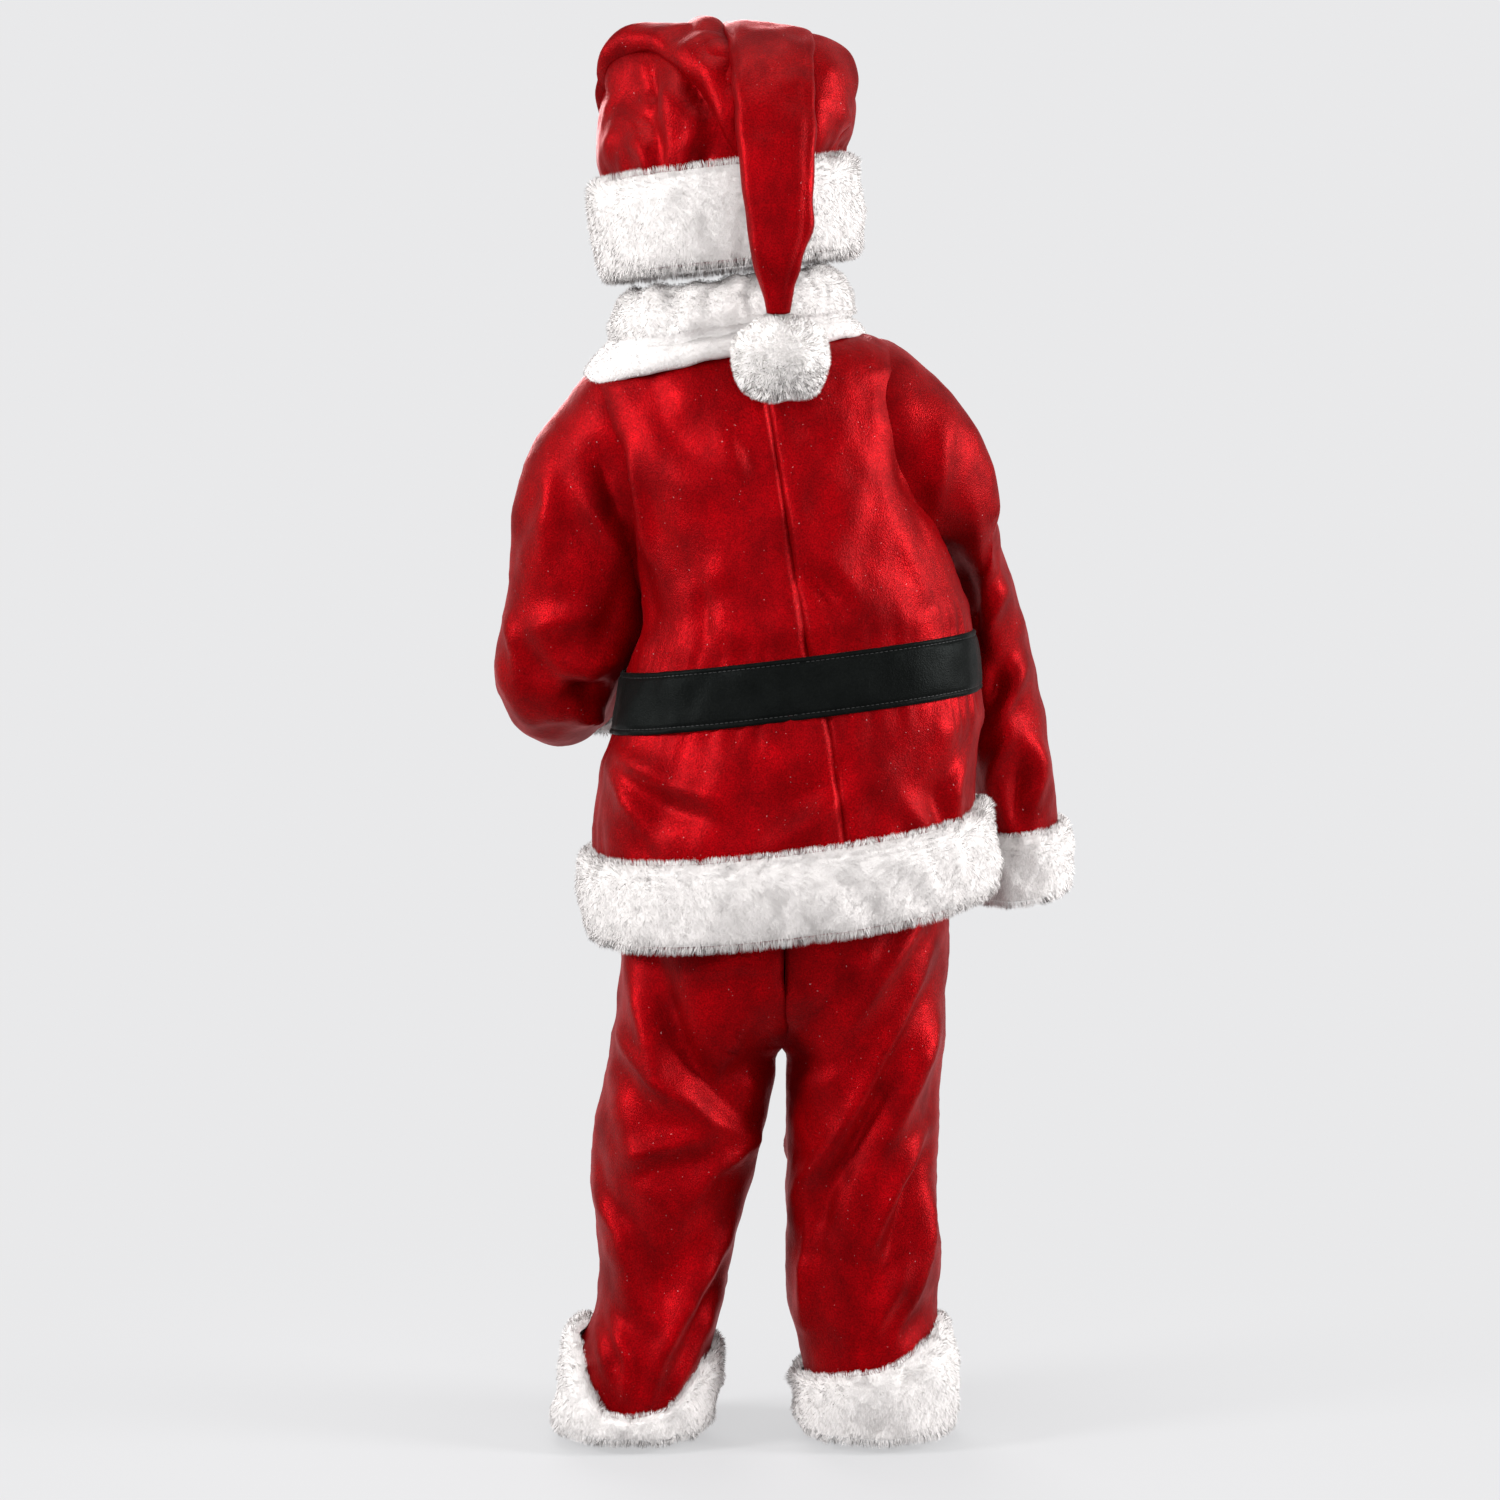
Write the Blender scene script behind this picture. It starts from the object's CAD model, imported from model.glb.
"""Santa suit: the finish of its velvet and plush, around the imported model.

Metres, +Z up. The front faces -Y, so the wearer's left side is at +X; the photograph
was taken from behind. Every cloth is a loft through the rings of a table; a place on
it is its share of the way along the rows and an angle: 0 back, 90 left, 180 front.
"""
import math
from collections import namedtuple

import bmesh
import bpy
import numpy as np
from mathutils import Matrix, Vector


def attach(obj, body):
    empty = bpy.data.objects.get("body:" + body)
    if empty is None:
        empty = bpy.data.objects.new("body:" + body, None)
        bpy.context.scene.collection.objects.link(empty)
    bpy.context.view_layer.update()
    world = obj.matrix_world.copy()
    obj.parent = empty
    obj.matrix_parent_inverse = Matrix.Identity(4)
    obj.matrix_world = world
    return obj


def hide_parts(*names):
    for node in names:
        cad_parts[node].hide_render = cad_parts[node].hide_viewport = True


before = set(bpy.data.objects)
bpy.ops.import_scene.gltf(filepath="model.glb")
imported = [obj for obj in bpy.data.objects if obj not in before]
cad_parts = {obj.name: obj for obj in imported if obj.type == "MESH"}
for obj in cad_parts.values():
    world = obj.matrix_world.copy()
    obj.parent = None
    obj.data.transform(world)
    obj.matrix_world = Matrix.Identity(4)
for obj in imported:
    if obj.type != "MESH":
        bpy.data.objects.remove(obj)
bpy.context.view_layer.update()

# Driving sizes: the velvet, how deep each trim's plush is, the pompom and the floor
MM = 0.001
VELVET = 0.0011
JACKET_PLUSH = 0.0125
CUFF_PLUSH = 0.0090
LEG_PLUSH = 0.0105
BAND_PLUSH = 0.0125
PACKED_SHARE = 0.92
PLUSH_FOOT = 0.0003
POMPOM_RADIUS = 0.0302
POMPOM_SQUASH = (1.0, 0.90, 0.90)
POMPOM_CENTRE = (-0.0310, 0.1110, -0.0107)
FLOOR = -0.7715
# Stitches: the thread's radius and sides, its swelling along a stitch, and their pitch
THREAD, THREAD_SIDES = 0.00035, 5
THREAD_FORM = ((0.0, 0.35), (0.5, 1.0), (1.0, 0.35))
STITCH_PITCH, STITCH_LENGTH = 0.0034, 0.0024

# How the wearer leans, and where the hat and the trousers' middle are
BACK_LEAN = math.radians(7.0)
HEAD_LEAN = math.radians(6.0)
HAT_CENTRE = (0.0060, 0.0, 0.0900)
TROUSER_SPLIT = -0.0340
TORSO_LENGTH = 0.393
TROUSERS_TOP, TROUSERS_END = -0.262, -0.748

# The velvet's mesh step, and a panel's width across
STEP = 0.0042
PANEL_WIDTH = 0.205
# A seam: its depth and width, the ridge beside it, and the radius it is measured on
SEAM_DEPTH, SEAM_WIDTH = 0.0016, 0.0024
RIDGE_HEIGHT, RIDGE_PLACE, RIDGE_WIDTH = 0.0004, 0.0065, 0.0045
SEAM_REACH = 0.10
# The armhole: how far cloth reaches into the other tube, and the fillet above it
ARMHOLE_INSET = 0.0100
FILLET, FILLET_WIDTH = 0.0042, 0.011
# Gathers at the belt, the plush hem and the hat's band: height, and how far they fade
GATHER, GATHER_FADE = 0.0019, 0.0105
HEM_GATHER, HEM_FADE = 0.0007, 0.02
HAT_GATHER, HAT_FADE = 0.0013, 0.024
# The jacket blouses above the belt and springs out below it: height, place, width
PUFF_ABOVE, PUFF_BELOW, PUFF_WIDTH = (0.0022, 0.016), (0.0026, 0.015), 0.011
# Creases: their share of the heights in the tables, and how those of the front repeat
# the back's; how far the cloth has to face back or front to carry them
CREASE_SHARE = 1.75
FRONT_SHIFT, FRONT_SHARE = 0.016, 0.85
FACING = (0.05, 0.45)
# A crease's section: the roundness and steepness of its ridge, then the trough around it
CREST, STEEPNESS, RIDGE = 0.02, 0.72, 1.45
TROUGH, TROUGH_SPREAD = 0.36, 2.4
# Unevenness of all cloth: the length of its waves, and the finer ones' share
WAVE_LENGTH, FINE_LENGTH, FINE_SHARE = 0.034, 0.015, 0.35

# Mesh columns and rows of the tubes, trims and lobes, and points of the stitched line
SLEEVE_COLUMNS, CROWN_COLUMNS, TAIL_COLUMNS, TAIL_ROWS = 79, 139, 46, 76
CUFF_COLUMNS, LEG_CUFF_COLUMNS, BAND_COLUMNS, BELT_COLUMNS = 129, 169, 199, 329
HEM_COLUMNS, COLLAR_COLUMNS, ROLL_ROWS = 260, 190, 24
LOBE_ROWS, LOBE_COLUMNS = 68, 22
POMPOM_ROWS, POMPOM_COLUMNS = 26, 48
PROFILE_POINTS, STITCH_POINTS = 15, 900

# Fur: the size of a tuft, how far it leans, what is taken off a strand's length, and
# how much of its underside's own shading is kept
TUFT, TUFT_LEAN, SHORTER, UNDERSIDE = 0.009, 0.08, 0.22, 0.15
STRAND_WIDTH = 0.00052
# How far a strand stands up, leans with its neighbours and strays on its own, how its
# length is drawn, and how it sags and curls above its middle
STAND, FINE_LEAN, STRAY = 0.62, 0.05, 0.13
SHORTEST, LONGEST = 0.74, 1.10
SAG, CURL, MIDDLE = 0.22, 0.04, 0.55
# How much longer and denser it is at a trim's edges, and how far it is combed up, both
# by share of the way down
FRINGE = 1.55
FRINGE_LEVELS, FRINGE_SHARES = (0.0, 0.16, 0.30, 0.72, 0.88, 1.0), (1.0, 1.0, 0.0, 0.0, 1.0, 1.0)
COMBED_LEVELS, COMBED_SHARES = (0.0, 0.18, 0.45, 1.0), (1.3, 0.4, -1.0, -1.0)

# The camera stands behind the wearer
CAMERA_PLACE = (-0.0105, 3.0, -0.03)
CAMERA_AIM = (-0.0105, 0.0, -0.2835)
CAMERA_LENS = 103.2

# The surround's colour, and how much light it gives
WORLD = (0.815, 0.815, 0.825)
FILL = 0.56
# Lamps: place, size and power
LAMP_AIM = (-0.03, 0.0, -0.30)
LAMPS = {
    "lamp_left": ((2.1, 1.1, 0.7), 0.7, 78.0),
    "lamp_right": ((-2.3, 0.6, 0.5), 0.8, 86.0),
    "lamp_back": ((0.3, 2.9, 0.3), 1.5, 32.0),
    "lamp_top": ((0.2, 0.3, 2.3), 1.4, 24.0),
    "lamp_front": ((0.6, -2.4, 0.9), 1.6, 60.0),
}
FLOOR_RADIUS, FLOOR_SIDES = 9.0, 64
FLOOR_COLOUR = (0.38, 0.38, 0.386, 1.0)
# The floor turns into the surround between these distances from the suit
FADE_START, FADE_END = 0.22, 1.15

# Furs: how many strands, how long, how far they droop, and the seed of their draws
Pile = namedtuple("Pile", "strands length droop seed")
FURS = {
    "jacket_hem_fur": Pile(68000, 0.0046, 0.80, 101),
    "sleeve_cuff_left_fur": Pile(24000, 0.0042, 0.60, 102),
    "sleeve_cuff_right_fur": Pile(24000, 0.0042, 0.60, 103),
    "hat_band_fur": Pile(54000, 0.0048, 0.75, 104),
    "leg_cuff_left_fur": Pile(30000, 0.0044, 0.60, 105),
    "leg_cuff_right_fur": Pile(30000, 0.0044, 0.60, 106),
    "collar_fur": Pile(37000, 0.0042, 0.35, 107),
    "collar_fall_fur": Pile(12000, 0.0026, 0.60, 108),
    "pompom_fur": Pile(27000, 0.0052, 0.0, 109),
}


def in_metres(kind, rows):
    """Rows of one kind, written in millimetres."""
    return [kind(*(np.multiply(size, MM) for size in row)) for row in rows]


# Rows of heights and reaches in millimetres, as in the part's source; what stands
# outside such rows is in metres
# A level ring: its height, its reach to left, right, back and front of the widest
# line, that line's y, how far the back hangs lower, and the back seam's x
Level = namedtuple("Level", "z left right back front y dip seam")
TORSO = in_metres(Level, (
    (-1, 68, -62, 50, 48, 4, 0, -10),
    (-6, 84, -82, 62, 56, 4, 0, -12),
    (-13, 96, -97, 68, 63, 5, 0, -14),
    (-24, 102, -108, 73, 69, 6, 0, -16),
    (-42, 105, -113, 77, 75, 8, 0, -18),
    (-80, 107, -118, 81, 82, 10, 0, -19),
    (-130, 96, -125, 81, 88, 14, 0, -21),
    (-180, 87, -133, 80, 94, 18, 0, -22.5),
    (-218, 103, -138.5, 78, 98, 20, 0, -24),
    (-264, 119, -138.5, 82, 102, 20, 1, -32),
    (-300, 134, -133, 90, 108, 18, 4, -33),
    (-336, 140, -127, 94, 112, 17, 10, -34),
    (-394, 142, -127, 96, 113, 16, 12, -35),
))
BELT_HEIGHTS = (-0.2165, -0.2365, -0.2570)
HEM_HEIGHTS = (-0.338, -0.362, -0.380, -0.390)

# The collar's roll: its section from the neck's inside, over the top, to its waist
COLLAR_ROLL = in_metres(Level, (
    (3, 57, -52, 45, 42, 4, 0, 0),
    (20, 55, -51, 46, 43, 4, 0, 0),
    (38, 58, -55, 51, 47, 4, 0, 0),
    (45.5, 65, -66, 61, 56, 4, 0, 0),
    (40, 74, -77, 74, 66, 4, 1, 0),
    (26, 83, -85, 83, 75, 4, 2, 0),
    (13, 86, -86, 83, 77, 4, 2, 0),
))
COLLAR_FRONT_DROPS = (0.0, 0.0, 0.001, 0.003, 0.006, 0.010, 0.014)
# Its fall lies on the jacket: share of the way from the neck to its edge, and height
FALL_FORM = ((0.50, 0.0130), (0.70, 0.0115), (0.85, 0.0092), (0.96, 0.0066), (1.00, 0.0042),
             (1.00, 0.0009), (0.80, 0.0022), (0.50, 0.0026), (0.20, 0.0016))
# The fall's edge: its height at the sides' mean, what it loses leftwards, and in front
FALL_EDGE, FALL_LEFT, FALL_FRONT = -0.0100, 0.0095, 0.0160

# One leg: outer and inner reach; above the crotch the inner reach crosses the split
Leg = namedtuple("Leg", "z outer inner back front y")
LEFT_LEG = in_metres(Leg, (
    (-262, 50, -126, 62, 62, 6),
    (-320, 62, -138, 70, 66, 6),
    (-380, 73, -146, 78, 68, 4),
    (-420, 79, -122, 79, 68, 2),
    (-455, 82, -74, 74, 66, 0),
    (-487, 87, -34.2, 66, 63, 0),
    (-515, 92, -27.5, 63, 62, 0),
    (-550, 99, -20.5, 61, 60, 0),
    (-588, 102, -12, 58, 58, 0),
    (-617, 98, -3, 56, 56, 0),
    (-650, 96, 4, 54, 55, 1),
    (-680, 99, 10, 54, 55, 2),
    (-705, 110, 17, 54, 55, 3),
    (-735, 115, 23, 52, 54, 4),
    (-762, 123, 30, 50, 53, 4),
))
RIGHT_LEG = in_metres(Leg, (
    (-262, -126, 50, 62, 62, 6),
    (-320, -138, 62, 70, 66, 6),
    (-380, -147, 72, 78, 68, 4),
    (-420, -150, 46, 79, 68, 2),
    (-455, -148, -2, 74, 66, 0),
    (-487, -147, -33.8, 66, 63, 0),
    (-515, -145, -35.6, 62, 60, 0),
    (-588, -142, -36, 59, 57, 0),
    (-640, -145, -35.6, 56, 55, 0),
    (-675, -143, -37, 54, 54, 0),
    (-700, -144, -44, 53, 53, 1),
    (-730, -146, -50, 52, 53, 2),
    (-762, -148, -53, 50, 53, 2),
))

# The leg cuffs' upper edge, angle by angle, and their lower edge
CUFF_TURNS = {
    "left": ((0, -0.7455), (24, -0.7430), (50, -0.7200), (90, -0.6890), (180, -0.7000),
             (270, -0.7020), (305, -0.7160), (332, -0.7400), (360, -0.7455)),
    "right": ((0, -0.7150), (50, -0.7220), (90, -0.7240), (180, -0.7080), (270, -0.6840),
              (310, -0.6960), (335, -0.7090), (360, -0.7150)),
}
CUFF_BOTTOM = -0.760
# The belt's section down to its middle: share of the way down, and distance out
BELT_FORM = [(0.0, 0.0004), (0.0, 0.0019), (0.015, 0.0025), (0.045, 0.0029), (0.075, 0.0027),
             (0.090, 0.0019), (0.105, 0.0027), (0.16, 0.0031), (0.30, 0.0033), (0.5, 0.0034)]

# A sleeve ring: its outer and inner point, and half its size the other way
Sleeve = namedtuple("Sleeve", "outer inner half")
LEFT_SLEEVE = in_metres(Sleeve, (
    ((50, 4, -22), (52, 4, -155), 48),
    ((84, 4, -10), (66, 4, -162), 50),
    ((114.5, 4, -38.5), (64, 4, -168), 51),
    ((138, 4, -66), (61, 3, -174), 51),
    ((151, 4, -96), (59, 1, -180), 50),
    ((157, 2, -137), (58, -1, -188), 48),
    ((159, 0, -176), (60, -4, -200), 46),
    ((167, -3, -211), (68, -8, -215), 44),
    ((168, -17, -234), (82, -21, -231), 43),
    ((162, -44, -244), (88, -40, -240), 42),
    ((149, -82, -243), (83, -70, -240), 38),
    ((137, -118, -238), (77, -104, -236), 34),
    ((126, -160, -232), (69, -142, -231), 32),
))
RIGHT_SLEEVE = in_metres(Sleeve, (
    ((-60, 4, -10), (-62, 4, -130), 48),
    ((-98, 4, -1), (-102, 4, -133), 54),
    ((-128, 1, -17), (-126, 0, -139), 55),
    ((-149, -6, -40), (-143, -10, -148), 48),
    ((-165, -16, -76), (-150, -26, -160), 45),
    ((-179, -28, -115), (-153, -41, -176), 42),
    ((-192, -39, -155), (-156, -53, -196), 40),
    ((-205, -49, -197), (-160, -62, -222), 39),
    ((-215, -56, -238), (-162, -67, -253), 38),
    ((-223, -61, -279), (-165, -69, -288), 37),
    ((-229, -65, -318), (-172, -72, -324), 36),
    ((-232, -69, -356), (-179, -75, -362), 35),
    ((-233.5, -72, -388), (-182, -77, -394), 34),
))

# The hat's rows are measured from its centre, square to the leaning head
HAT = in_metres(Level, (
    (119, 10, -16, 12, 12, 0, 0, 0),
    (117, 32, -36, 32, 32, 0, 0, 0),
    (111, 54, -58, 54, 54, 0, 0, 0),
    (100, 69, -78, 72, 72, 0, 0, 0),
    (85, 77, -90, 84, 84, 0, 0, 0),
    (65, 83, -93, 91, 91, 0, 0, 0),
    (45, 85, -89, 93, 93, 0, 0, 0),
    (28, 83, -84, 92, 92, 0, 0, 0),
    (0, 81, -81, 90, 90, 0, 0, 0),
    (-35, 80, -80, 89, 89, 0, 0, 0),
))
BAND_HEIGHTS = (0.0280, 0.0000, -0.0260, -0.0345)

# The folded end of the hat: its two long edges, and half its thickness
TAIL = in_metres(Sleeve, (
    ((10, 16, 204), (-52, 20, 199), 3),
    ((9, 30, 214.5), (-52, 32, 209), 4.5),
    ((7, 50, 212.5), (-53, 52, 207), 6),
    ((3.5, 80, 197.5), (-54, 80, 194), 7.5),
    ((1, 103, 173), (-54, 103, 170), 8),
    ((-1, 116.5, 140), (-54.5, 116.5, 138), 8.5),
    ((-5.2, 121.5, 105), (-52.5, 121.5, 106), 9),
    ((-9.2, 122.5, 72), (-52.2, 122.5, 74), 9),
    ((-13, 120.5, 52), (-45.5, 120.5, 54), 8.8),
    ((-16.8, 116.5, 37), (-40.5, 116.5, 38), 8.2),
    ((-20.8, 113, 19.5), (-37.2, 113, 19.5), 6.5),
))

# A fold runs between two places; its height is out of the cloth, or into it, and
# height and width are in millimetres
Fold = namedtuple("Fold", "around along to_around to_along height width")
TORSO_FOLDS = [Fold(*row) for row in (
    (60, 0.24, 66, 0.62, -5, 12),
    (50, 0.36, 40, 0.60, -3, 14),
    (48, 0.55, 14, 0.63, 3, 12),
    (304, 0.30, 300, 0.60, -4, 13),
    (330, 0.46, 352, 0.56, 3, 13),
    (52, 0.76, 60, 0.92, 3.5, 14),
    (32, 0.74, 44, 0.92, -3, 12),
    (14, 0.74, 20, 0.92, 3, 12),
    (312, 0.74, 304, 0.92, 3.5, 14),
    (140, 0.30, 152, 0.60, -4, 14),
    (222, 0.32, 208, 0.62, -4, 14),
    (128, 0.76, 122, 0.93, 3.5, 14),
    (158, 0.75, 152, 0.92, -3, 12),
    (232, 0.76, 238, 0.93, 3.5, 14),
    (204, 0.75, 210, 0.92, -3, 12),
)]
LEFT_SLEEVE_FOLDS = [Fold(*row) for row in (
    (35, 0.30, 80, 0.46, -3.5, 10),
    (60, 0.52, 10, 0.60, -4, 9),
    (80, 0.58, 20, 0.68, 4, 9),
    (330, 0.62, 20, 0.70, -3.5, 8),
    (170, 0.52, 230, 0.60, -4, 10),
)]
RIGHT_SLEEVE_FOLDS = [Fold(*row) for row in (
    (10, 0.30, 320, 0.46, -3.5, 10),
    (335, 0.46, 280, 0.60, 3.5, 11),
    (20, 0.55, 320, 0.72, -3.5, 10),
    (340, 0.70, 280, 0.84, 3, 10),
    (200, 0.40, 240, 0.62, -3.5, 10),
)]
LEFT_LEG_FOLDS = [Fold(*row) for row in (
    (70, 0.38, 340, 0.66, 4.5, 13),
    (75, 0.50, 355, 0.76, -4, 11),
    (70, 0.62, 0, 0.80, 4.5, 12),
    (330, 0.60, 20, 0.80, -4, 11),
    (110, 0.50, 200, 0.72, -4, 12),
    (120, 0.66, 210, 0.80, 4.5, 12),
)]
RIGHT_LEG_FOLDS = [Fold(*row) for row in (
    (292, 0.34, 20, 0.66, 4.5, 13),
    (285, 0.46, 10, 0.78, -4, 11),
    (290, 0.58, 25, 0.80, 4.5, 12),
    (280, 0.72, 350, 0.80, -4, 11),
    (250, 0.50, 160, 0.74, -4, 12),
    (240, 0.64, 150, 0.80, 4.5, 12),
)]
HAT_FOLDS = [Fold(*row) for row in (
    (78, 0.40, 52, 0.10, 9, 13),
    (52, 0.14, 12, 0.62, 8, 11),
    (66, 0.48, 30, 0.60, -6, 14),
    (120, 0.10, 150, 0.60, 6, 13),
    (230, 0.12, 250, 0.55, -5, 13),
    (280, 0.20, 290, 0.60, 5, 12),
)]

# Creases that the photograph shows: the line they follow in X and Z, in millimetres,
# and how high and wide they are, less than nothing for a trough
Crease = namedtuple("Crease", "points height width")
BACK_CREASES = [Crease(*row) for row in (
    (((83, -66), (78, -93), (71, -125)), -3.5, 5),
    (((73, -71), (68, -103), (62, -147)), 3, 6),
    (((58, -14), (48, -53), (27, -76)), -2.2, 13),
    (((9, -58), (2, -76), (-5, -93)), 2.0, 8),
    (((-5, -66), (-15, -81), (-25, -96)), -2.4, 8),
    (((48, -86), (30, -96), (10, -102)), 1.3, 9),
    (((-41, -66), (-52, -63), (-66, -62)), -1.6, 10),
    (((-40, -117), (-61, -146), (-88, -178)), 2.4, 9),
    (((-48, -153), (-58, -164), (-69, -178)), -3, 8),
    (((22, -162), (21, -184), (17, -208)), -3.2, 9),
    (((0, -151), (15, -159), (29, -172)), 2.0, 9),
    (((-129, -73), (-135, -93), (-138, -115)), -3, 7),
    (((64, -174), (68, -195), (70, -212)), 2.2, 8),
    (((-109, -147), (-122, -161), (-133, -181)), -2, 12),
    (((83, -278), (49, -300), (15, -309)), 3.8, 9),
    (((78, -293), (45, -315), (10, -323)), -3, 10),
    (((89, -283), (72, -311), (54, -340)), 3.2, 7),
    (((-22, -269), (-30, -283), (-35, -297)), 2.2, 7),
    (((-69, -310), (-45, -328), (-21, -343)), 3.2, 8),
    (((-64, -297), (-41, -310), (-24, -316)), -2.8, 11),
    (((-161, -276), (-147, -302), (-149, -328)), 3.8, 8),
    (((-152, -283), (-137, -305), (-139, -324)), -2.8, 8),
    (((-80, -305), (-99, -291), (-118, -278)), 2.4, 12),
    (((-113, -310), (-123, -321), (-130, -332)), 2, 8),
)]
LEFT_LEG_CREASES = [Crease(*row) for row in (
    (((75, -415), (63, -465), (51, -507), (16, -537), (-12, -552)), 4.6, 10),
    (((58, -415), (48, -457), (31, -495), (-7, -537)), -5.5, 11),
    (((83, -474), (61, -504), (45, -523)), 3.8, 8),
    (((11, -508), (-7, -502), (-23, -498)), -4, 13),
    (((-8, -456), (1, -480), (11, -508)), 3.2, 7),
    (((31, -433), (1, -422), (-26, -426)), 3, 9),
    (((78, -565), (51, -553), (20, -548)), 3.2, 7),
    (((74, -577), (46, -569), (21, -564)), -2.8, 8),
    (((-13, -554), (17, -572), (29, -593)), 4, 8),
    (((96, -595), (80, -617), (69, -648)), 4, 7),
    (((0, -612), (28, -657), (53, -707), (63, -743)), 4.4, 8),
    (((-7, -627), (16, -666), (38, -709)), -3.8, 8),
    (((10, -670), (31, -707), (51, -741)), 3.2, 6),
    (((86, -678), (74, -705), (76, -734)), 3.4, 6),
    (((97, -683), (90, -705), (86, -722)), 2.6, 6),
)]
RIGHT_LEG_CREASES = [Crease(*row) for row in (
    (((-130, -394), (-102, -432), (-82, -466)), 4.2, 8),
    (((-96, -413), (-88, -426), (-81, -440)), 2.6, 7),
    (((-138, -409), (-120, -457), (-95, -507), (-68, -557), (-48, -582), (-38, -607)), 5.2, 9),
    (((-140, -433), (-114, -482), (-89, -537), (-65, -582), (-49, -632)), -5.2, 10),
    (((-139, -470), (-127, -502), (-112, -543)), 3.6, 8),
    (((-137, -541), (-112, -582), (-94, -628)), 4.8, 7),
    (((-139, -557), (-120, -592), (-105, -636)), -3.6, 8),
    (((-51, -606), (-48, -648), (-48, -683)), 3.2, 6),
    (((-135, -600), (-133, -632), (-122, -667), (-110, -694)), 4.2, 6),
    (((-119, -634), (-109, -662), (-95, -690)), 2.8, 7),
    (((-45, -473), (-60, -459), (-71, -442)), -2.6, 10),
    (((-45, -515), (-66, -511), (-80, -497)), 2.4, 12),
)]
LEFT_SLEEVE_CREASES = [Crease(*row) for row in (
    (((110, -238), (99, -242), (88, -249)), -5.0, 5),
    (((116, -249), (104, -256), (92, -258)), 3.6, 6),
    (((126, -87), (130, -118), (131, -149)), 2.4, 9),
    (((95, -72), (88, -94), (80, -116)), -3.4, 8),
    (((103, -108), (89, -128), (73, -149)), 2.6, 8),
    (((120, -87), (110, -121), (93, -149)), -2.2, 10),
    (((156, -189), (154, -214), (148, -239)), 3.8, 6),
    (((163, -204), (148, -223), (121, -233)), -3, 9),
    (((151, -204), (127, -192), (93, -185)), 3.2, 9),
    (((121, -223), (100, -226), (81, -219)), 3.4, 8),
    (((116, -240), (103, -244), (89, -240)), -6, 7),
    (((134, -256), (117, -261), (93, -257)), 3.2, 7),
    (((79, -170), (85, -190), (93, -207)), -3, 9),
)]
RIGHT_SLEEVE_CREASES = [Crease(*row) for row in (
    (((-145, -56), (-141, -84), (-138, -113)), 2.6, 7),
    (((-164, -111), (-169, -135), (-173, -157)), 2.6, 8),
    (((-186, -165), (-181, -183), (-177, -200)), 3, 7),
    (((-172, -183), (-168, -204), (-172, -223)), -2.8, 8),
    (((-204, -223), (-195, -245), (-183, -270)), 3.8, 7),
    (((-194, -221), (-185, -245), (-176, -263)), -3.2, 8),
    (((-196, -272), (-185, -294), (-180, -315)), 3.6, 7),
    (((-214, -287), (-215, -308), (-211, -330)), 3.2, 7),
    (((-204, -294), (-200, -315), (-196, -336)), -3, 7),
    (((-190, -315), (-192, -332), (-197, -348)), 2.8, 6),
    (((-154, -149), (-161, -170), (-166, -190)), -3, 7),
)]
HAT_CREASES = [Crease(*row) for row in (
    (((56, 192), (58, 172), (57, 152)), -5.5, 6),
    (((31, 180), (24, 165), (17, 150)), -5.0, 5),
    (((88, 160), (68, 146), (56, 124)), 2.8, 6),
    (((82, 155), (86, 135), (88, 118)), 2.4, 6),
    (((76, 142), (63, 128), (55, 108)), 3, 7),
    (((69, 156), (57, 143), (52, 122)), -3.4, 8),
    (((23, 155), (30, 132), (34, 108)), 2.8, 6),
    (((45, 148), (42, 128), (46, 108)), 2.4, 7),
    (((13, 138), (19, 122), (23, 108)), -2.6, 6),
    (((-70, 155), (-75, 145), (-78, 135)), 3.4, 5),
)]

# Lobes of the folded crown, row by row along the middle: angle and share of the way
# along of one edge, then of the other, and the height between them in millimetres
ROLL = (
    (96, 0.52, 90, 0.40, 0),
    (90, 0.46, 78, 0.30, 8),
    (80, 0.37, 60, 0.17, 12),
    (62, 0.29, 30, 0.08, 14),
    (40, 0.25, 2, 0.08, 15),
    (25, 0.30, -10, 0.18, 15),
    (13, 0.41, -10, 0.30, 13),
    (5, 0.525, -9, 0.44, 10),
    (-1, 0.66, -9, 0.60, 7),
    (-6, 0.80, -11, 0.76, 0),
)
RIGHT_LOBE = (
    (-30, 0.10, -60, 0.18, 0),
    (-32, 0.20, -72, 0.30, 11),
    (-35, 0.32, -80, 0.40, 13),
    (-36, 0.45, -77, 0.50, 13),
    (-36, 0.58, -68, 0.60, 11),
    (-38, 0.72, -57, 0.74, 8),
    (-42, 0.86, -47, 0.87, 0),
)
TOP_RIDGE = (
    (62, 0.13, 50, 0.08, 0),
    (46, 0.10, 18, 0.03, 12),
    (32, 0.12, -2, 0.05, 17),
    (20, 0.18, -12, 0.12, 18),
    (12, 0.28, -12, 0.22, 16),
    (6, 0.40, -11, 0.34, 12),
    (1, 0.52, -11, 0.48, 7),
    (-3, 0.62, -11, 0.60, 0),
)
SIDE_BUMPS = (
    (-72, 0.26, -80, 0.30, 0),
    (-70, 0.38, -92, 0.42, 4.5),
    (-68, 0.50, -96, 0.54, 5),
    (-64, 0.64, -94, 0.68, 4.5),
    (-62, 0.76, -84, 0.78, 0),
)
# Each lobe's rows, the seed of its unevenness, and what it measures flat
HAT_LOBES = {
    "left": (ROLL, 33, (0.10, 0.20), 0.012),
    "right": (RIGHT_LOBE, 34, (0.10, 0.20), 0.010),
    "top": (TOP_RIDGE, 36, (0.07, 0.14), 0.006),
    "side": (SIDE_BUMPS, 37, (0.05, 0.12), 0.004),
}


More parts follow.
